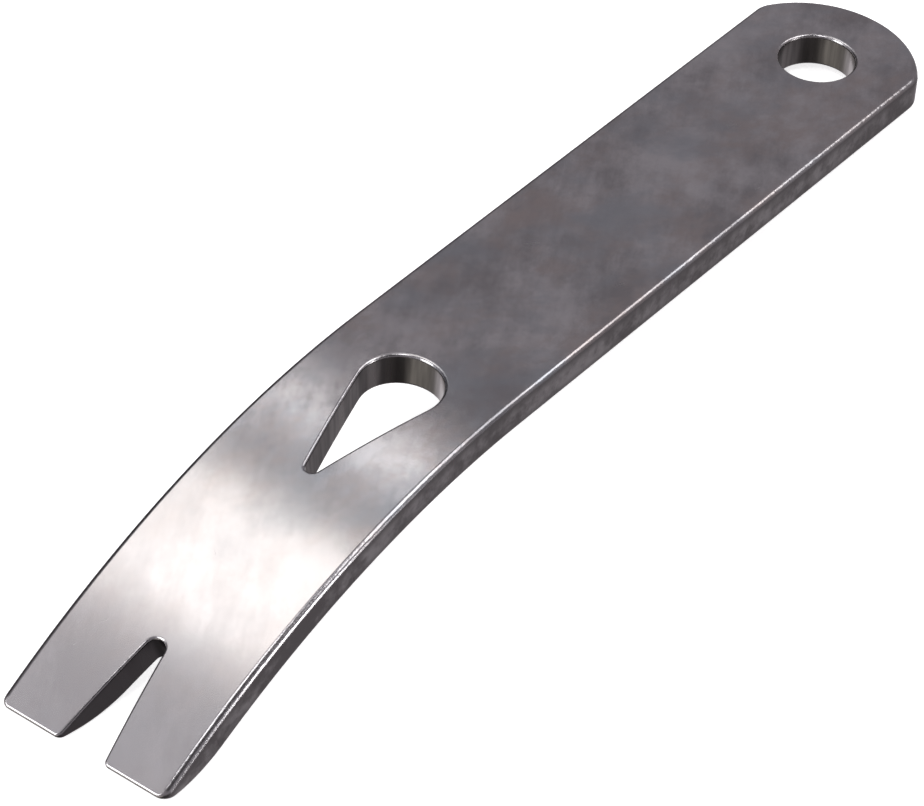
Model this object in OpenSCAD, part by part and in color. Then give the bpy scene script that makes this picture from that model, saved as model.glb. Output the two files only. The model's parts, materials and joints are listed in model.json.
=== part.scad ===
// One-piece steel pry bar and nail puller: a flat handle with a lanyard hole in its
// round back end, then one even bend that carries a teardrop nail hole and ends in a
// forked claw with a rounded heel under it.
// It lies as it would on a bench, arched side up, on the heel and on the back end.
// +X points to the claw, +Z points up, and the bar is symmetric about the XZ plane.
// The origin is on the bench, halfway along the bar.

/* [Bar] */
// Width of the bar
bar_w = 16; // [16:1:20]
// Thickness of the plate
plate_t = 3; // [2.5:0.1:4]
// Length of the straight handle, from the back end to the start of the bend
handle_l = 60.1; // [50:0.1:90]
// Radius of the bend at the arched face
bend_r = 80; // [75:1:100]
// Angle of the bend
bend_a = 31.5; // [28:0.5:36]
// Radius on the long edges
edge_r = 0.4; // [0.2:0.1:0.8]
// How much the radius of the round back end exceeds half the width
back_extra = 1; // [1:1:4]
// Radius that blends the back end into the sides
shoulder_r = 2.5; // [2:0.5:3]

/* [Lanyard hole] */
// Distance from the back end to the centre of the hole
lanyard_x = 8.1; // [7:0.1:14]
// Radius of the hole
lanyard_r = 3.2; // [2:0.1:4]
// Radius on both rims of the hole
rim_r = 0.2; // [0.1:0.05:0.4]

/* [Nail hole] */
// Distance along the arched face from the start of the bend to the round end's centre
nail_s = 4.6; // [4:0.1:7]
// Radius of the round end
nail_r = 3.4; // [2.5:0.1:4.5]
// Distance between the centres of the round end and the pointed end
nail_l = 10.7; // [8:0.1:11.5]
// Radius of the pointed end
nail_point_r = 0.6; // [0.3:0.1:1]

/* [Claw] */
// Distance from the claw's edge to the centre of the notch's round end
notch_l = 9.4; // [7:0.1:11]
// Radius of the notch's round end
notch_r = 0.8; // [0.5:0.05:1.2]
// Angle between each side of the notch and the middle of the bar
notch_a = 8; // [6:0.5:12]
// Radius on the claw's outer corners
outer_corner_r = 0.9; // [0.3:0.1:1.5]
// Radius on the claw's inner corners
inner_corner_r = 0.5; // [0.2:0.1:0.8]
// Radius of the rounded heel under the claw
heel_r = 10; // [8:0.5:14]
// Thickness left at the claw's edge
claw_edge_t = 0.35; // [0.2:0.05:0.6]

/* [Hidden] */
$fn = 96;
bend_fn = 360;
// How far a cutter reaches past the faces that it cuts
reach = 2;
// Curves that would only touch are moved together by this share of a radius, so that they
// cross in a clean edge
near_tangent = 0.999;
steel = [0.62, 0.61, 0.63];

// Radius of the round back end
back_r = bar_w / 2 + back_extra;
// The back end's arc meets the shoulders' arcs this far round from the tip
shoulder_d = (back_r - shoulder_r) / near_tangent;
shoulder_a = asin((bar_w / 2 - shoulder_r) / shoulder_d);
// Rounded, so that the straight part and the bend meet in exactly one plane
shoulder_x = round(1000 * (back_r - shoulder_d * cos(shoulder_a))) / 1000;
// The shoulders run on inside the back end's disc by this angle
shoulder_overlap_a = 15;

// Angles along the bend start at the end of the handle and grow towards the claw
nail_mid_a = arc_angle(nail_s + nail_l / 2);
notch_mid_a = bend_a - arc_angle(notch_l / 2);
notch_half_w = (notch_r + notch_l * sin(notch_a)) / cos(notch_a);
// The heel's circle is tangent to the underside and meets the low side of the claw's
// edge face. Both radii here are distances from the centre of the bend.
heel_centre_d = bend_r - plate_t + heel_r;
edge_low_d = bend_r - claw_edge_t;
heel_span_a = acos(
    (pow(heel_centre_d, 2) + pow(edge_low_d, 2) - pow(heel_r, 2))
    / (2 * heel_centre_d * edge_low_d));
heel_a = bend_a - heel_span_a;

// Tilt that puts both the heel and the low back edge on the bench, from the circles
// that round them, as [x, z] with the arched face of the handle level at z = 0
back_centre = [edge_r, edge_r - plate_t];
heel_centre = bend_point(heel_a, heel_centre_d);
span = heel_centre - back_centre;
lie_a = atan2(span[1], span[0]) + acos((heel_r - edge_r) / norm(span)) - 90;
bench_z = tilt(back_centre)[1] - edge_r;
back_x = tilt([edge_r, -edge_r])[0] - edge_r;
claw_x = tilt(bend_point(bend_a, bend_r))[0];

// Angle that a length along the arched face takes up in the bend
function arc_angle(length) = length / bend_r * 180 / PI;

// Point in the XZ plane at an angle along the bend and a distance from its centre
function bend_point(angle, distance) = [
    handle_l + distance * sin(angle),
    distance * cos(angle) - bend_r];

// Where the tilt takes a point in the XZ plane
function tilt(point) = [
    point[0] * cos(lie_a) + point[1] * sin(lie_a),
    point[1] * cos(lie_a) - point[0] * sin(lie_a)];

// Cross-section of the plate out to a half width, with its arched face along y = 0
module half_section(half_w) {
    translate([0, edge_r - plate_t])
        square([half_w, plate_t - 2 * edge_r]);
    translate([0, -plate_t])
        square([half_w - edge_r, plate_t]);
    for (y = [-edge_r, edge_r - plate_t])
        translate([half_w - edge_r, y])
            circle(edge_r);
}

module section() {
    for (side = [0, 1])
        mirror([side, 0])
            half_section(bar_w / 2);
}

// Sector of a disc with the plate's rounded edge, from one angle to another
module disc_sector(r, from_a, to_a) {
    rotate([0, 0, from_a])
        rotate_extrude(angle = to_a - from_a)
            half_section(r);
}

// Straight handle with its round back end
module handle() {
    translate([shoulder_x, 0, 0])
        rotate([90, 0, 90])
            linear_extrude(handle_l - shoulder_x)
                section();
    translate([back_r, 0, 0])
        disc_sector(back_r, 180 - shoulder_a, 180 + shoulder_a);
    for (side = [0, 1])
        mirror([0, side, 0])
            translate([shoulder_x, bar_w / 2 - shoulder_r, 0])
                disc_sector(shoulder_r, 90, 180 - shoulder_a + shoulder_overlap_a);
}

// The bend is a sector of a ring, which starts level with the handle
module bend() {
    translate([handle_l, 0, -bend_r])
        rotate([0, -90, -90])
            rotate_extrude(angle = bend_a, $fn = bend_fn)
                translate([bend_r, 0])
                    rotate(-90)
                        section();
}

// Carries its children along the arched face to an angle of the bend
module on_bend(angle) {
    translate([handle_l, 0, -bend_r])
        rotate([0, angle, 0])
            translate([0, 0, bend_r])
                children();
}

// Extrudes an outline right through the plate
module through_cut() {
    translate([0, 0, -plate_t - reach])
        linear_extrude(plate_t + 2 * reach)
            children();
}

// Two circles on the x axis with straight sides that are tangent to both
module tapered_slot(x_a, r_a, x_b, r_b) {
    slope = asin((r_a - r_b) / (x_b - x_a));
    side = near_tangent * [sin(slope), cos(slope)];
    other_side = near_tangent * [sin(slope), -cos(slope)];
    translate([x_a, 0])
        circle(r_a);
    translate([x_b, 0])
        circle(r_b);
    polygon([
        [x_a, 0] + r_a * side,
        [x_b, 0] + r_b * side,
        [x_b, 0] + r_b * other_side,
        [x_a, 0] + r_a * other_side]);
}

// Waste outside a circle that rounds a corner. The corner is at the origin, with one
// side along -x and the other inside_a away from it, clockwise.
module corner_waste(inside_a, r) {
    side_l = r / tan(inside_a / 2);
    centre = [-side_l, r];
    other_end = side_l * [-cos(inside_a), sin(inside_a)];
    other_outward = [sin(inside_a), cos(inside_a)];
    difference() {
        polygon([
            [-side_l, 0],
            [-side_l, -reach],
            -centre / norm(centre) * reach / sin(inside_a / 2),
            other_end + reach * other_outward,
            other_end,
            centre]);
        translate(centre)
            circle(r);
    }
}

// Ring that rounds the rim of a hole in a plate whose face is at z = 0
module rim_waste() {
    rotate_extrude()
        difference() {
            translate([lanyard_r - rim_r, -rim_r])
                square([2 * rim_r, rim_r + reach]);
            translate([lanyard_r + rim_r, -rim_r])
                circle(rim_r);
        }
}

module lanyard_hole() {
    translate([lanyard_x, 0, 0]) {
        through_cut()
            circle(lanyard_r);
        rim_waste();
        translate([0, 0, -plate_t])
            mirror([0, 0, 1])
                rim_waste();
    }
}

module nail_hole() {
    on_bend(nail_mid_a)
        through_cut()
            tapered_slot(-nail_l / 2, nail_r, nail_l / 2, nail_point_r);
}

// The notch runs on past the claw's edge
module notch() {
    cut_l = notch_l + reach;
    on_bend(notch_mid_a)
        through_cut()
            translate([-notch_l / 2, 0])
                tapered_slot(0, notch_r, cut_l, notch_r + cut_l * sin(notch_a));
}

module claw_corners() {
    on_bend(bend_a)
        through_cut()
            for (flip = [0, 1])
                mirror([0, flip]) {
                    translate([0, -bar_w / 2])
                        corner_waste(90, outer_corner_r);
                    translate([0, notch_half_w])
                        rotate(notch_a)
                            corner_waste(90 + notch_a, inner_corner_r);
                }
}

// Waste under the rounded heel
module heel_waste() {
    on_bend(heel_a)
        translate([0, bar_w / 2 + reach, -plate_t])
            rotate([90, 0, 0])
                linear_extrude(bar_w + 2 * reach)
                    difference() {
                        translate([0, -reach])
                            square([heel_r, heel_r + reach]);
                        translate([0, heel_r])
                            circle(heel_r);
                    }
}

module pry_bar() {
    color(steel)
        translate([-(back_x + claw_x) / 2, 0, -bench_z])
            rotate([0, lie_a, 0])
                difference() {
                    union() {
                        handle();
                        bend();
                    }
                    lanyard_hole();
                    nail_hole();
                    notch();
                    claw_corners();
                    heel_waste();
                }
}

pry_bar();
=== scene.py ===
"""Pocket pry bar on a pale studio floor.

The steel plate is drawn flat first: three closed outlines with a rounded edge along each.
Then every point is carried along the bend and tilted to the pose in which the bar lies.
Lengths are in metres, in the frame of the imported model: +X to the claw, +Z up.
"""
import json
import math

import bpy
import numpy as np
from mathutils import Matrix, Vector, geometry


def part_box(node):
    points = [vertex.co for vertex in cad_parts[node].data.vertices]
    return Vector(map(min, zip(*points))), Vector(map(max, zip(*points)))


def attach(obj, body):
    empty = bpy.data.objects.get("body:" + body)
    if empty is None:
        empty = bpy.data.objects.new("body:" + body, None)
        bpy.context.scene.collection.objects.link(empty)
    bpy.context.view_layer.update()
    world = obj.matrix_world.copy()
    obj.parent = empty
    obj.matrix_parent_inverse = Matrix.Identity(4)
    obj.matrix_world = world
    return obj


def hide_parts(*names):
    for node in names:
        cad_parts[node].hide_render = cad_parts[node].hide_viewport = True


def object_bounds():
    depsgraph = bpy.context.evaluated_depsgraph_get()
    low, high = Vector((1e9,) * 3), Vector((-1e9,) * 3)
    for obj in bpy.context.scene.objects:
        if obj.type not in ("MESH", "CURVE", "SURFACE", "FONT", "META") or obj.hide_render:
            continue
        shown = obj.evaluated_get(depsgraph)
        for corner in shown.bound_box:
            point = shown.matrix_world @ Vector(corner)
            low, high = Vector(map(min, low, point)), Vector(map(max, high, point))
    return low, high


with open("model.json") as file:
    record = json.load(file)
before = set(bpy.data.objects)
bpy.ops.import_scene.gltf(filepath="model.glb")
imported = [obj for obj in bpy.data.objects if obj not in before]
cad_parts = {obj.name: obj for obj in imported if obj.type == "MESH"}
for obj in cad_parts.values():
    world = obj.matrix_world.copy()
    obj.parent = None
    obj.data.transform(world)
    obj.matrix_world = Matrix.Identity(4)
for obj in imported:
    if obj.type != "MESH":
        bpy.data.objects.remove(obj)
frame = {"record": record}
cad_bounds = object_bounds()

MM = 0.001
MOUNTS = {mount["name"]: mount for mount in frame["record"]["mounts"]}
LANYARD = MOUNTS["lanyard_hole"]

# The plate, with the same dimensions as the CAD part
BAR_LOW, BAR_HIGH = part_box("pry_bar")
HALF_W = (BAR_HIGH.y - BAR_LOW.y) / 2
PLATE_T = 3 * MM
HANDLE_L = 60.1 * MM
BEND_R = 80 * MM
BEND_A = math.radians(31.5)
BACK_R = HALF_W + 1 * MM
SHOULDER_R = 2.5 * MM
LANYARD_X = 8.1 * MM
LANYARD_R = LANYARD["dims"]["r_mm"] * MM
NAIL_X = HANDLE_L + 4.6 * MM
NAIL_R = 3.4 * MM
NAIL_L = 10.7 * MM
NAIL_POINT_R = 0.6 * MM
NOTCH_L = 9.4 * MM
NOTCH_R = 0.8 * MM
NOTCH_A = math.radians(8)
OUTER_CORNER_R = 0.9 * MM
INNER_CORNER_R = 0.5 * MM
HEEL_R = 10 * MM
CLAW_EDGE_T = 0.35 * MM
BAR_L = HANDLE_L + BEND_R * BEND_A

# Radius of the rounded edges along the handle, along the claw and round the cut-outs
HANDLE_EDGE_R = 0.5 * MM
CLAW_EDGE_R = 0.6 * MM
CUT_EDGE_R = 0.3 * MM
NOTCH_EDGE_R = 0.25 * MM
# A rounded edge takes at most this share of the plate where the claw gets thin
TOP_EDGE_SHARE = 0.6
LOW_EDGE_SHARE = 0.2

# The stretch along the bar over which the edges grow rounder
EDGE_GROWTH_X = (HANDLE_L + 10 * MM, BAR_L - 8 * MM)

# Mesh density
SIDE_STEP = 0.4 * MM
FACE_STEP = 0.8 * MM
# A face's inner points stay this far from its outlines
FACE_GAP = 0.5 * FACE_STEP
# Points nearer than this, in millimetres, would be merged in a triangulation
MERGE_GAP = 1e-6
ARC_STEP = math.radians(5)
EDGE_STEPS = 6
WALL_STEPS = 4


# ---------------------------------------------------------------- flat outlines

def straight(start, end):
    """Points from start up to end, and the normals on their right."""
    start, end = np.array(start), np.array(end)
    length = np.linalg.norm(end - start)
    count = max(1, round(length / SIDE_STEP))
    along = (end - start) / length
    points = start + np.linspace(0, length, count, endpoint=False)[:, None] * along
    normals = np.tile([along[1], -along[0]], (count, 1))
    return points, normals


def arc(centre, radius, from_a, to_a):
    """Points round an arc up to its end. The normals are on the right of the way round."""
    count = max(3, round(abs(to_a - from_a) / ARC_STEP))
    angles = np.linspace(from_a, to_a, count, endpoint=False)
    spokes = np.stack([np.cos(angles), np.sin(angles)], axis=1)
    return np.array(centre) + radius * spokes, spokes * np.sign(to_a - from_a)


def mirrored_loop(half, last_point, last_normal):
    """A closed outline from its half at one side of the x axis, ending at the axis."""
    points = np.concatenate([part[0] for part in half] + [[last_point]])
    normals = np.concatenate([part[1] for part in half] + [[last_normal]])
    flip = np.array([1, -1])
    points = np.concatenate([points, points[-2:0:-1] * flip])
    normals = np.concatenate([normals, normals[-2:0:-1] * flip])
    return points, normals


def outer_outline():
    """The bar's outline, anticlockwise from the middle of the back end."""
    quarter = math.pi / 2
    shoulder_a = math.asin((HALF_W - SHOULDER_R) / (BACK_R - SHOULDER_R))
    shoulder_x = BACK_R - (BACK_R - SHOULDER_R) * math.cos(shoulder_a)
    notch_x = BAR_L - NOTCH_L
    mouth = (NOTCH_R + NOTCH_L * math.sin(NOTCH_A)) / math.cos(NOTCH_A)
    inner_y = -mouth - INNER_CORNER_R * (1 - math.sin(NOTCH_A)) / math.cos(NOTCH_A)
    inner = np.array([BAR_L - INNER_CORNER_R, inner_y])
    notch_normal = np.array([math.sin(NOTCH_A), math.cos(NOTCH_A)])
    notch_start = inner + INNER_CORNER_R * notch_normal
    notch_end = np.array([notch_x, 0]) - NOTCH_R * notch_normal
    corner = (BAR_L - OUTER_CORNER_R, OUTER_CORNER_R - HALF_W)
    half = [
        arc((BACK_R, 0), BACK_R, math.pi, math.pi + shoulder_a),
        arc((shoulder_x, SHOULDER_R - HALF_W), SHOULDER_R, math.pi + shoulder_a,
            3 * quarter),
        straight((shoulder_x, -HALF_W), (corner[0], -HALF_W)),
        arc(corner, OUTER_CORNER_R, -quarter, 0),
        straight((BAR_L, corner[1]), (BAR_L, inner_y)),
        arc(inner, INNER_CORNER_R, 0, quarter - NOTCH_A),
        straight(notch_start, notch_end),
        arc((notch_x, 0), NOTCH_R, -quarter - NOTCH_A, -math.pi),
    ]
    return mirrored_loop(half, (notch_x - NOTCH_R, 0), (1, 0))


def lanyard_outline():
    half = [arc((LANYARD_X, 0), LANYARD_R, math.pi, 0)]
    return mirrored_loop(half, (LANYARD_X + LANYARD_R, 0), (-1, 0))


def nail_outline():
    slope = math.asin((NAIL_R - NAIL_POINT_R) / NAIL_L)
    point_x = NAIL_X + NAIL_L
    side = np.array([math.sin(slope), math.cos(slope)])
    side_a = math.pi / 2 - slope
    half = [
        arc((NAIL_X, 0), NAIL_R, math.pi, side_a),
        straight([NAIL_X, 0] + NAIL_R * side, [point_x, 0] + NAIL_POINT_R * side),
        arc((point_x, 0), NAIL_POINT_R, side_a, 0),
    ]
    return mirrored_loop(half, (point_x + NAIL_POINT_R, 0), (-1, 0))


# ------------------------------------------------------------ bending and tilting

HEEL_CENTRE_D = BEND_R - PLATE_T + HEEL_R


def heel_angle():
    """Angle along the bend at which the heel's circle leaves the underside."""
    low_d = BEND_R - CLAW_EDGE_T
    cosine = (HEEL_CENTRE_D**2 + low_d**2 - HEEL_R**2) / (2 * HEEL_CENTRE_D * low_d)
    return BEND_A - math.acos(cosine)


HEEL_A = heel_angle()


def bend_angle(s):
    return np.maximum(s - HANDLE_L, 0) / BEND_R


def thickness(s):
    """Depth of the underside below the arched face."""
    turn = np.maximum(bend_angle(s) - HEEL_A, 0)
    low_d = HEEL_CENTRE_D * np.cos(turn) - np.sqrt(
        HEEL_R**2 - (HEEL_CENTRE_D * np.sin(turn)) ** 2)
    return np.where(turn > 0, BEND_R - low_d, PLATE_T)


def turned(x, y, z):
    """Vectors of the handle's own frame, tilted as the bar lies."""
    tilt = math.atan2(LANYARD["axis"][0], LANYARD["axis"][2])
    return np.stack([
        x * math.cos(tilt) + z * math.sin(tilt),
        y,
        z * math.cos(tilt) - x * math.sin(tilt)], axis=-1)


def placed(s, y, depth):
    """Points at a length along the arched face, across it and below it."""
    angle = bend_angle(s)
    distance = BEND_R - depth
    x = np.minimum(s, HANDLE_L) + distance * np.sin(angle)
    z = distance * np.cos(angle) - BEND_R
    return np.array(LANYARD["pos_m"]) + turned(x - LANYARD_X, y, z + PLATE_T / 2)


def face_normals(s):
    angle = bend_angle(s)
    return turned(np.sin(angle), 0 * s, np.cos(angle))


def underside_normals(s):
    angle = bend_angle(s)
    distance = BEND_R - thickness(s)
    heel_x = distance * np.sin(angle) - HEEL_CENTRE_D * math.sin(HEEL_A)
    heel_z = distance * np.cos(angle) - HEEL_CENTRE_D * math.cos(HEEL_A)
    heel = turned(heel_x / HEEL_R, 0 * s, heel_z / HEEL_R)
    return np.where((angle > HEEL_A)[:, None], heel, -face_normals(s))


def side_normals(s, flat_normals):
    angle = bend_angle(s)
    along = turned(np.cos(angle), 0 * s, -np.sin(angle))
    across = np.array([0, 1, 0])
    return flat_normals[:, :1] * along + flat_normals[:, 1:] * across


# ---------------------------------------------------------------------- the mesh

def smooth_step(low, high, value):
    share = np.clip((value - low) / (high - low), 0, 1)
    return share * share * (3 - 2 * share)


def in_notch(points):
    return (np.abs(points[:, 1]) < HALF_W / 2) & (points[:, 0] > BAR_L - 2 * NOTCH_L)


def outer_edge_radius(points):
    """The long edges are rounded more towards the claw, and the notch only lightly."""
    growth = smooth_step(*EDGE_GROWTH_X, points[:, 0])
    side = HANDLE_EDGE_R + (CLAW_EDGE_R - HANDLE_EDGE_R) * growth
    return np.where(in_notch(points), NOTCH_EDGE_R, side)


def edge_rings(points, normals, radius):
    """Rows of points from the arched face, round its edge, down the wall and round the
    lower edge, each as inset, depth and the shares of side, face and underside in its
    normal."""
    wall_t = thickness(points[:, 0])
    top_r = np.minimum(radius, TOP_EDGE_SHARE * wall_t)
    low_r = np.minimum(radius, LOW_EDGE_SHARE * wall_t)
    rings = []
    for angle in np.linspace(math.pi / 2, 0, EDGE_STEPS + 1):
        inset = top_r * (1 - math.cos(angle))
        depth = top_r * (1 - math.sin(angle))
        rings.append((inset, depth, math.cos(angle), math.sin(angle), 0))
    for share in np.linspace(0, 1, WALL_STEPS + 1)[1:-1]:
        depth = top_r + share * (wall_t - low_r - top_r)
        rings.append((0 * depth, depth, 1, 0, 0))
    for angle in np.linspace(0, math.pi / 2, EDGE_STEPS + 1):
        inset = low_r * (1 - math.cos(angle))
        local_t = thickness(points[:, 0] - inset * normals[:, 0])
        depth = local_t - low_r * (1 - math.sin(angle))
        rings.append((inset, depth, math.cos(angle), 0, math.sin(angle)))
    return rings


def inside(points, outlines):
    """Which points are inside an odd number of the outlines."""
    odd = np.zeros(len(points), bool)
    for outline in outlines:
        ends = np.roll(outline, -1, axis=0)
        for (x0, y0), (x1, y1) in zip(outline, ends):
            crosses = (y0 > points[:, 1]) != (y1 > points[:, 1])
            if y0 != y1:
                at = x0 + (points[:, 1] - y0) * (x1 - x0) / (y1 - y0)
                odd ^= crosses & (points[:, 0] < at)
    return odd


def face_grid(outlines):
    """Even rows of points inside a face, clear of its outlines."""
    xs = np.arange(FACE_STEP, BAR_L, FACE_STEP)
    rows = round(2 * HALF_W / FACE_STEP)
    ys = (np.arange(rows) + 0.5) / rows * 2 * HALF_W - HALF_W
    grid = np.stack(np.meshgrid(xs, ys, indexing="ij"), axis=-1).reshape(-1, 2)
    grid = grid[inside(grid, outlines)]
    edge = np.concatenate(outlines)
    gaps = np.linalg.norm(grid[:, None] - edge[None], axis=2).min(axis=1)
    return grid[gaps > FACE_GAP]


def face_triangles(outlines):
    """The grid points that a face adds, and its triangles over the outlines' points
    followed by those."""
    grid = face_grid(outlines)
    points = np.concatenate(outlines + [grid])
    edges, first = [], 0
    for outline in outlines:
        count = len(outline)
        edges += [(first + i, first + (i + 1) % count) for i in range(count)]
        first += count
    flat = [Vector(point) for point in points / MM]
    result = geometry.delaunay_2d_cdt(flat, edges, [], 0, MERGE_GAP)
    if len(result[0]) != len(points):
        raise ValueError("the face's triangulation moved its points")
    triangles = np.array(result[2])
    kept = inside(points[triangles].mean(axis=1), outlines)
    return grid, triangles[kept]


class Shell:
    """Vertices, normals, faces and face coordinates of one mesh as it is built."""

    def __init__(self):
        self.points, self.normals, self.walls, self.cuts = [], [], [], []
        self.faces, self.corners = [], []
        self.count = 0

    def add(self, points, normals, wall, cut):
        first = self.count
        self.points.append(points)
        self.normals.append(normals / np.linalg.norm(normals, axis=1)[:, None])
        self.walls.append(np.full(len(points), float(wall)))
        self.cuts.append(np.full(len(points), 1.0) * cut)
        self.count += len(points)
        return first


def add_walls(shell, outline, radius, cut):
    """The rings of one outline. Returns the first ring and the last one, each as its
    flat points and its first vertex."""
    points, normals = outline
    count = len(points)
    steps = np.linalg.norm(np.roll(points, -1, axis=0) - points, axis=1)
    along = np.concatenate([[0], np.cumsum(steps)])
    firsts, depths, flats = [], [], []
    for inset, depth, side, face, under in edge_rings(points, normals, radius):
        flat = points - np.asarray(inset)[:, None] * normals
        s = flat[:, 0]
        normal = (
            side * side_normals(s, normals)
            + face * face_normals(s)
            + under * underside_normals(s))
        firsts.append(shell.add(placed(s, flat[:, 1], depth), normal, side, cut))
        depths.append(depth)
        flats.append(flat)
    for upper, lower in zip(range(len(firsts) - 1), range(1, len(firsts))):
        for i in range(count):
            j = (i + 1) % count
            shell.faces.append(
                (firsts[upper] + i, firsts[lower] + i, firsts[lower] + j, firsts[upper] + j))
            shell.corners += [
                (along[i], depths[upper][i]), (along[i], depths[lower][i]),
                (along[i + 1], depths[lower][j]), (along[i + 1], depths[upper][j])]
    return (flats[0], firsts[0]), (flats[-1], firsts[-1])


def add_face(shell, rims, under):
    """The arched face, or the underside, between the rims of the walls."""
    outlines = [flat for flat, first in rims]
    grid, triangles = face_triangles(outlines)
    s = grid[:, 0]
    depth = thickness(s) if under else 0 * s
    normals = underside_normals(s) if under else face_normals(s)
    first = shell.add(placed(s, grid[:, 1], depth), normals, 0, 0)
    index = np.concatenate(
        [rim_first + np.arange(len(flat)) for flat, rim_first in rims]
        + [first + np.arange(len(grid))])
    flats = np.concatenate(outlines + [grid])
    for triangle in triangles:
        order = triangle[::-1] if under else triangle
        shell.faces.append(tuple(int(index[k]) for k in order))
        shell.corners += [tuple(flats[k]) for k in order]


def plate_mesh():
    shell = Shell()
    outlines = [outer_outline(), lanyard_outline(), nail_outline()]
    radii = [
        outer_edge_radius(outlines[0][0]),
        np.full(len(outlines[1][0]), CUT_EDGE_R),
        np.full(len(outlines[2][0]), CUT_EDGE_R)]
    cuts = [in_notch(outlines[0][0]), 1, 1]
    rims = [add_walls(shell, *parts) for parts in zip(outlines, radii, cuts)]
    add_face(shell, [rim[0] for rim in rims], under=False)
    add_face(shell, [rim[1] for rim in rims], under=True)

    mesh = bpy.data.meshes.new("pry_bar_plate")
    mesh.from_pydata(np.concatenate(shell.points).tolist(), [], shell.faces)
    mesh.shade_smooth()
    layer = mesh.uv_layers.new(name="plate")
    layer.data.foreach_set("uv", (np.array(shell.corners) / MM).ravel())
    wall = mesh.attributes.new("wall", "FLOAT", "POINT")
    wall.data.foreach_set("value", np.concatenate(shell.walls))
    cut = mesh.attributes.new("cut", "FLOAT", "POINT")
    cut.data.foreach_set("value", np.concatenate(shell.cuts))
    mesh.validate()
    mesh.normals_split_custom_set_from_vertices(np.concatenate(shell.normals).tolist())
    return mesh


# ------------------------------------------------------------------- the material

class Nodes:
    """Adds shader nodes by type, and links their inputs by name."""

    # Sockets of a Mix node that mixes colours
    MIX_SHARE, MIX_FIRST, MIX_SECOND, MIX_RESULT = 0, 6, 7, 2

    def __init__(self, tree):
        self.tree = tree
        tree.nodes.clear()

    def add(self, kind, settings=None, **inputs):
        node = self.tree.nodes.new(kind)
        for name, value in (settings or {}).items():
            setattr(node, name, value)
        for name, value in inputs.items():
            self.put(node.inputs[name.replace("_", " ")], value)
        return node

    def put(self, socket, value):
        if isinstance(value, bpy.types.NodeSocket):
            self.tree.links.new(value, socket)
        else:
            socket.default_value = value

    def math(self, operation, first, second):
        node = self.tree.nodes.new("ShaderNodeMath")
        node.operation = operation
        self.put(node.inputs[0], first)
        self.put(node.inputs[1], second)
        return node.outputs[0]

    def noise(self, vector, scale, detail=3.0, roughness=0.5):
        node = self.add("ShaderNodeTexNoise", Vector=vector, Scale=scale, Detail=detail,
                        Roughness=roughness)
        return node.outputs["Fac"]

    def ramp(self, value, low, high, to_low=0.0, to_high=1.0):
        node = self.add("ShaderNodeMapRange", {"interpolation_type": "SMOOTHSTEP"},
                        Value=value)
        for name, number in (("From Min", low), ("From Max", high),
                             ("To Min", to_low), ("To Max", to_high)):
            self.put(node.inputs[name], number)
        return node.outputs["Result"]

    def blend(self, share, first, second):
        node = self.tree.nodes.new("ShaderNodeMix")
        node.data_type = "RGBA"
        self.put(node.inputs[self.MIX_SHARE], share)
        self.put(node.inputs[self.MIX_FIRST], first)
        self.put(node.inputs[self.MIX_SECOND], second)
        return node.outputs[self.MIX_RESULT]

    def stretched(self, vector, turn, scale):
        """Coordinates turned in degrees about the third axis, then scaled."""
        turn_node = self.add("ShaderNodeVectorRotate", {"rotation_type": "Z_AXIS"},
                             Vector=vector, Angle=math.radians(turn))
        scale_node = self.tree.nodes.new("ShaderNodeVectorMath")
        scale_node.operation = "MULTIPLY"
        self.put(scale_node.inputs[0], turn_node.outputs["Vector"])
        self.put(scale_node.inputs[1], scale)
        return scale_node.outputs["Vector"]

    def bump(self, height, distance, below=None):
        inputs = {"Height": height, "Distance": distance, "Strength": 1.0}
        if below is not None:
            inputs["Normal"] = below
        return self.add("ShaderNodeBump", **inputs).outputs["Normal"]


STEEL_DARK = (0.40, 0.385, 0.40, 1)
STEEL_LIGHT = (0.74, 0.72, 0.74, 1)
STEEL_WARM = (0.56, 0.49, 0.475, 1)
STEEL_COOL = (0.47, 0.50, 0.545, 1)
# The sheared sides: darker where mottled and under painted shade towards their edges, lightest
# halfway down
SIDE_DARK = (0.26, 0.245, 0.25, 1)
SIDE_LIGHT = (0.62, 0.60, 0.61, 1)
# Walls in the holes, in bands, painted darker for the shade inside the holes
CUT_SHADE_DARK = (0.19, 0.18, 0.18, 1)
CUT_SHADE_LIGHT = (0.38, 0.36, 0.355, 1)
# Painted shade on the walls of the notch
NOTCH_SHADE = (0.13, 0.12, 0.125, 1)
# Where along the bar the stains fade, and where the nail hole ends and the notch's painted
# shade starts
STAINED_X = 20 * MM
CLEAN_X = 34 * MM
NOTCH_SHADE_FROM_X = (32 * MM, 36 * MM)
# Stretched patterns: the turn in degrees, then the scale per metre along each axis
DRIFT = (-28, (80, 300, 80))
WARM_STAINS = (15, (150, 210, 150))
COOL_STAINS = (40, (120, 170, 120))
# The same for the bands on the walls, but per millimetre round the outline and down it
WALL_BANDS = (0, (0.75, 0.07, 1))
# Scales per metre of the scratches, and of the spots that break them up
SCRATCH_LINES = (180, 4200, 180)
SCRATCH_SPOTS = (340, 700, 340)
# Scales per metre of the even patterns
CLOUD_SCALE = 110
SWELL_SCALE = 130
GRAIN_SCALE = 1500
MOTTLE_SCALE = 620
WALL_DRIFT_SCALE = 130
# Roughness from the darkest places to the lightest ones
FACE_ROUGHNESS = (0.245, 0.215)
WALL_ROUGHNESS = (0.36, 0.26)
SCRATCH_ROUGHNESS = 0.05
# Heights of the relief. The grain is faint on the faces and coarser on the worn edges.
SWELL_DEPTH = 0.008 * MM
GRAIN_DEPTH = (0.0003 * MM, 0.03 * MM)
SCRATCH_DEPTH = -0.0008 * MM


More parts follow.
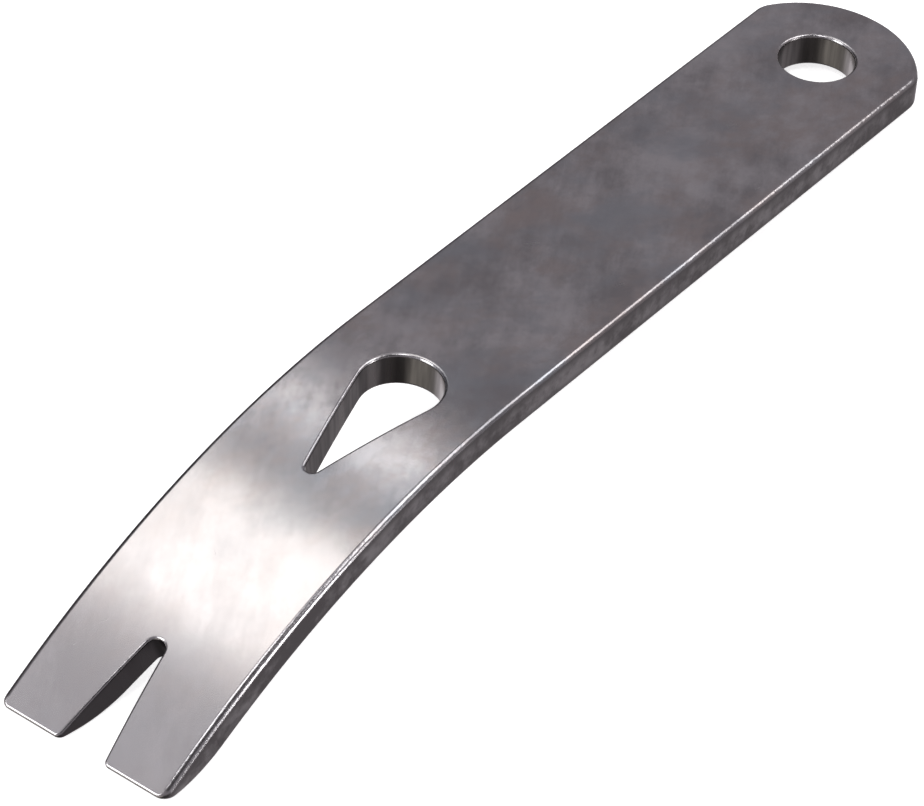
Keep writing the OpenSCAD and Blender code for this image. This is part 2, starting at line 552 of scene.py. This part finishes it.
def fine_lines(nodes, place, turn, share):
    """Short, thin, sparse scratches that run one way."""
    lines = nodes.noise(nodes.stretched(place, turn, SCRATCH_LINES), 1.0, detail=0)
    spots = nodes.noise(nodes.stretched(place, turn, SCRATCH_SPOTS), 1.0, detail=1)
    return nodes.math("MULTIPLY", nodes.ramp(lines, 0.72, 0.8),
                      nodes.ramp(spots, share, share + 0.06))


def face_colour(nodes, place, bar_x, tone):
    """Grey steel in clouds, with reddish and bluish stains. Both are fainter on the claw."""
    stain = nodes.ramp(bar_x, STAINED_X, CLEAN_X, 1.0, 0.25)
    cloud = nodes.math("SUBTRACT", nodes.ramp(tone, 0.38, 0.62), 0.5)
    cloud = nodes.math("ADD", nodes.math("MULTIPLY", cloud, stain), 0.5)
    colour = nodes.blend(cloud, STEEL_DARK, STEEL_LIGHT)
    warm = nodes.noise(nodes.stretched(place, *WARM_STAINS), 1.0, 6, 0.68)
    cool = nodes.noise(nodes.stretched(place, *COOL_STAINS), 1.0, 5, 0.6)
    warm = nodes.math("MULTIPLY", nodes.ramp(warm, 0.42, 0.70), stain)
    cool = nodes.math("MULTIPLY", nodes.ramp(cool, 0.42, 0.70), stain)
    colour = nodes.blend(nodes.math("MULTIPLY", warm, 0.8), colour, STEEL_WARM)
    return nodes.blend(nodes.math("MULTIPLY", cool, 0.7), colour, STEEL_COOL)


def side_colour_and_shade(nodes, place, plate):
    """Mottled sheared steel, with painted shade towards the top and bottom of the wall, so it
    is lightest halfway down the plate.
    """
    depth = nodes.add("ShaderNodeSeparateXYZ", Vector=plate).outputs["Y"]
    # Painted shade towards the wall's top edge and towards its bottom edge
    top_edge_shade = nodes.ramp(depth, 0.2, 1.3)
    bottom_edge_shade = nodes.ramp(depth, 2.9, 1.9)
    mottle = nodes.math("ADD", nodes.noise(place, MOTTLE_SCALE, 4, 0.65),
                        nodes.noise(place, WALL_DRIFT_SCALE, 2))
    mottle = nodes.ramp(mottle, 0.78, 1.22)
    share = nodes.math("MULTIPLY", nodes.math("MULTIPLY", top_edge_shade, bottom_edge_shade), mottle)
    return nodes.blend(share, SIDE_DARK, SIDE_LIGHT)


def cut_colour_and_shade(nodes, bar_x, bands):
    """Banded walls in both holes, painted darker as shade, and a darker painted shade on the
    walls of the notch.
    """
    holes = nodes.blend(nodes.ramp(bands, 0.35, 0.65), CUT_SHADE_DARK, CUT_SHADE_LIGHT)
    return nodes.blend(nodes.ramp(bar_x, *NOTCH_SHADE_FROM_X), holes, NOTCH_SHADE)


def tumbled_steel():
    """Steel that has been tumbled: cloudy, faintly stained, softly streaked and lightly
    scratched, with plainer sheared sides that have painted shade towards their top and bottom,
    and banded walls in the cut-outs that are painted darker as shade."""
    material = bpy.data.materials.new("tumbled_steel")
    material.use_nodes = True
    nodes = Nodes(material.node_tree)
    place = nodes.add("ShaderNodeTexCoord").outputs["Object"]
    bar_x = nodes.add("ShaderNodeSeparateXYZ", Vector=place).outputs["X"]
    plate = nodes.add("ShaderNodeUVMap", {"uv_map": "plate"}).outputs["UV"]
    wall = nodes.add("ShaderNodeAttribute", {"attribute_name": "wall"}).outputs["Fac"]
    cut = nodes.add("ShaderNodeAttribute", {"attribute_name": "cut"}).outputs["Fac"]

    cloud = nodes.noise(place, CLOUD_SCALE, 7, 0.66)
    drift = nodes.noise(nodes.stretched(place, *DRIFT), 1.0, 6, 0.65)
    tone = nodes.math("ADD", nodes.math("MULTIPLY", cloud, 0.6),
                      nodes.math("MULTIPLY", drift, 0.4))
    bands = nodes.noise(nodes.stretched(plate, *WALL_BANDS), 1.0, 3, 0.55)
    wall_colour = nodes.blend(cut, side_colour_and_shade(nodes, place, plate),
                              cut_colour_and_shade(nodes, bar_x, bands))
    on_wall = nodes.ramp(wall, 0.8, 1.0)
    colour = nodes.blend(on_wall, face_colour(nodes, place, bar_x, tone), wall_colour)

    scratches = nodes.math("MAXIMUM", fine_lines(nodes, place, 38, 0.66),
                           fine_lines(nodes, place, -52, 0.69))
    face_rough = nodes.math("ADD", nodes.ramp(tone, 0.36, 0.64, *FACE_ROUGHNESS),
                            nodes.math("MULTIPLY", scratches, SCRATCH_ROUGHNESS))
    wall_rough = nodes.ramp(bands, 0.3, 0.7, *WALL_ROUGHNESS)
    roughness = nodes.ramp(on_wall, 0.0, 1.0, face_rough, wall_rough)

    swell = nodes.bump(nodes.noise(place, SWELL_SCALE, detail=1), SWELL_DEPTH)
    edge = nodes.math("MULTIPLY", nodes.ramp(wall, 0.05, 0.5), nodes.ramp(wall, 1.0, 0.7))
    grit = nodes.ramp(edge, 0.0, 1.0, *GRAIN_DEPTH)
    grain = nodes.bump(nodes.noise(place, GRAIN_SCALE, 3, 0.6), grit, swell)
    normal = nodes.bump(scratches, SCRATCH_DEPTH, grain)

    shader = nodes.add("ShaderNodeBsdfPrincipled", Base_Color=colour, Metallic=1.0,
                       Roughness=roughness, Normal=normal)
    nodes.add("ShaderNodeOutputMaterial", Surface=shader.outputs["BSDF"])
    return material


# ------------------------------------------------------------ studio and camera

# The camera and the lamps face a point a little off the bar's middle, nearer the claw
CENTRE = (cad_bounds[0] + cad_bounds[1]) / 2
AIM = CENTRE + Vector((8.65, 2.5, 0.5)) * MM
CAMERA_AZIMUTH = math.radians(127.5)
CAMERA_ELEVATION = math.radians(44.1)
CAMERA_DISTANCE = 0.386
CAMERA_LENS = 195
LAMP_DISTANCE = 0.6
WASH_DISTANCE = 1.2

FLOOR_SHADE = (0.85, 0.85, 0.85, 1)
FLOOR_GLOW = 0.85
KEY_WARM = (1.0, 0.965, 0.90)
STRIP_WARM = (1.0, 0.965, 0.925)
FILL_COOL = (0.65, 0.86, 1.0)
AIR_TOP = (0.245, 0.230, 0.245, 1)
AIR_EDGE = (0.05, 0.047, 0.05, 1)
AIR_LOW_SIDE = (0.24, 0.225, 0.235, 1)
AIR_LOW_FRONT = (0.06, 0.055, 0.055, 1)
AIR_LOW_OLIVE = (0.50, 0.475, 0.435, 1)
AIR_LOW_BACK = (1.05, 1.01, 1.05, 1)


def pale_material(name, shade, glow):
    material = bpy.data.materials.new(name)
    material.use_nodes = True
    nodes = Nodes(material.node_tree)
    place = nodes.add("ShaderNodeTexCoord").outputs["Object"]
    tone = nodes.ramp(nodes.noise(place, 3.0), 0.3, 0.7, 0.99, 1.0)
    colour = nodes.blend(tone, (0, 0, 0, 1), shade)
    shader = nodes.add("ShaderNodeBsdfPrincipled", Base_Color=colour, Roughness=0.9)
    shader.inputs["Emission Color"].default_value = shade
    shader.inputs["Emission Strength"].default_value = glow
    nodes.add("ShaderNodeOutputMaterial", Surface=shader.outputs["BSDF"])
    return material


def studio_floor():
    """A round pale floor that curves up into a low wall, far outside the bar."""
    inner_r, floor_r, curve_r, wall_h = 0.4, 2.5, 0.6, 0.8
    curve_steps, sides = 8, 96
    profile = [(0.0, 0.0), (inner_r, 0.0), (floor_r, 0.0)]
    for step in range(1, curve_steps + 1):
        angle = step / curve_steps * math.pi / 2
        profile.append((floor_r + curve_r * math.sin(angle),
                        curve_r * (1 - math.cos(angle))))
    profile.append((floor_r + curve_r, curve_r + wall_h))
    points = [(0, 0, 0)]
    for radius, height in profile[1:]:
        for side in range(sides):
            angle = side / sides * 2 * math.pi
            points.append((radius * math.cos(angle), radius * math.sin(angle), height))
    faces = [(0, 1 + side, 1 + (side + 1) % sides) for side in range(sides)]
    for ring in range(len(profile) - 2):
        inner, outer = 1 + ring * sides, 1 + (ring + 1) * sides
        for side in range(sides):
            after = (side + 1) % sides
            faces.append((inner + side, outer + side, outer + after, inner + after))
    mesh = bpy.data.meshes.new("studio_floor")
    mesh.from_pydata(points, [], faces)
    mesh.shade_smooth()
    floor = bpy.data.objects.new("studio_floor", mesh)
    bpy.context.scene.collection.objects.link(floor)
    floor.location.z = cad_bounds[0].z
    floor.visible_glossy = False
    mesh.materials.append(pale_material("pale_floor", FLOOR_SHADE, FLOOR_GLOW))


def studio_air():
    """Dim surroundings for the steel to reflect: even above, and in patches below."""
    world = bpy.data.worlds.new("studio_air")
    bpy.context.scene.world = world
    world.use_nodes = True
    nodes = Nodes(world.node_tree)
    direction = nodes.add("ShaderNodeTexCoord").outputs["Generated"]

    def facing(towards):
        product = nodes.tree.nodes.new("ShaderNodeVectorMath")
        product.operation = "DOT_PRODUCT"
        nodes.put(product.inputs[0], direction)
        nodes.put(product.inputs[1], Vector(towards).normalized())
        return product.outputs["Value"]

    low = nodes.blend(nodes.ramp(facing((1, 0, 0)), -0.2, 0.35), AIR_LOW_SIDE, AIR_LOW_FRONT)
    low = nodes.blend(nodes.ramp(facing((0.9, -0.44, 0)), 0.55, 0.72), low, AIR_LOW_OLIVE)
    back = nodes.math("MULTIPLY", nodes.ramp(facing((-0.5, -0.87, 0)), 0.3, 0.6),
                      nodes.ramp(facing((0, 0, -1)), 0.3, 0.5))
    low = nodes.blend(back, low, AIR_LOW_BACK)
    colour = nodes.blend(nodes.ramp(facing((0, 0, 1)), -0.3, 0.3), low, AIR_TOP)
    near_edge = nodes.ramp(facing((0.17, 0.56, 0.81)), 0.88, 0.97)
    far_edge = nodes.ramp(facing((-0.3, -0.94, 0.15)), 0.80, 0.93)
    colour = nodes.blend(nodes.math("MAXIMUM", near_edge, far_edge), colour, AIR_EDGE)
    background = nodes.add("ShaderNodeBackground", Color=colour, Strength=1.0)
    nodes.add("ShaderNodeOutputWorld", Surface=background.outputs["Background"])


def softbox(name, towards, distance, size, brightness, colour=(1, 1, 1), glossy=True):
    """A flat lamp in a direction from the bar. The second size runs across the bar."""
    towards = Vector(towards).normalized()
    across = Vector((0, 1, 0))
    across = (across - towards * across.dot(towards)).normalized()
    light = bpy.data.lights.new(name, "AREA")
    light.shape = "RECTANGLE"
    light.size, light.size_y = size
    light.energy = brightness * size[0] * size[1] * math.pi
    light.color = colour
    lamp = bpy.data.objects.new(name, light)
    turn = Matrix((across.cross(towards), across, towards)).transposed()
    lamp.matrix_world = Matrix.Translation(AIM + towards * distance) @ turn.to_4x4()
    lamp.visible_glossy = glossy
    lamp.visible_camera = False
    bpy.context.scene.collection.objects.link(lamp)


def studio_lights():
    """Softboxes over the claw and the bend, and smaller ones that catch the edges."""
    softbox("key", (-0.108, -0.44, 0.892), LAMP_DISTANCE, (0.193, 0.30), 1.85, KEY_WARM)
    softbox("claw_fill", (0.187, -0.44, 0.88), LAMP_DISTANCE, (0.26, 0.30), 0.37)
    softbox("bend_strip", (-0.475, -0.44, 0.762), LAMP_DISTANCE, (0.055, 0.30), 1.4, STRIP_WARM)
    softbox("bend_fill", (-0.416, -0.44, 0.798), LAMP_DISTANCE, (0.08, 0.30), 0.28, FILL_COOL)
    softbox("rim_top", (0.15, 0.12, 0.98), LAMP_DISTANCE, (0.20, 0.14), 4.0)
    softbox("rim_bend", (-0.40, 0.44, 0.80), LAMP_DISTANCE, (0.20, 0.36), 2.4)
    softbox("rim_handle", (-0.70, 0.38, 0.60), LAMP_DISTANCE, (0.14, 0.26), 2.1)
    softbox("rim_low", (-0.27, 0.96, 0.06), LAMP_DISTANCE, (0.30, 0.08), 8.0)
    softbox("rim_front", (0.762, -0.437, 0.477), LAMP_DISTANCE, (0.44, 0.26), 4.0)
    softbox("floor_wash", (0.0, 0.0, 1.0), WASH_DISTANCE, (1.2, 1.2), 0.45, glossy=False)


def studio_camera():
    back = Vector((
        math.sin(CAMERA_AZIMUTH) * math.cos(CAMERA_ELEVATION),
        -math.cos(CAMERA_AZIMUTH) * math.cos(CAMERA_ELEVATION),
        math.sin(CAMERA_ELEVATION)))
    data = bpy.data.cameras.new("camera")
    data.sensor_width = 36
    data.lens = CAMERA_LENS
    data.clip_start, data.clip_end = 0.01, 20
    camera = bpy.data.objects.new("camera", data)
    bpy.context.scene.collection.objects.link(camera)
    camera.location = AIM + back * CAMERA_DISTANCE
    camera.rotation_mode = "QUATERNION"
    camera.rotation_quaternion = (-back).to_track_quat("-Z", "Y")
    bpy.context.scene.camera = camera


# --------------------------------------------------------------------- the scene

studio_camera()
studio_air()
studio_floor()
studio_lights()
bpy.context.scene.view_settings.view_transform = "Standard"

bar = bpy.data.objects.new("pry_bar_plate", plate_mesh())
bpy.context.scene.collection.objects.link(bar)
bar.data.materials.append(tumbled_steel())
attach(bar, "root")
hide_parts("pry_bar")
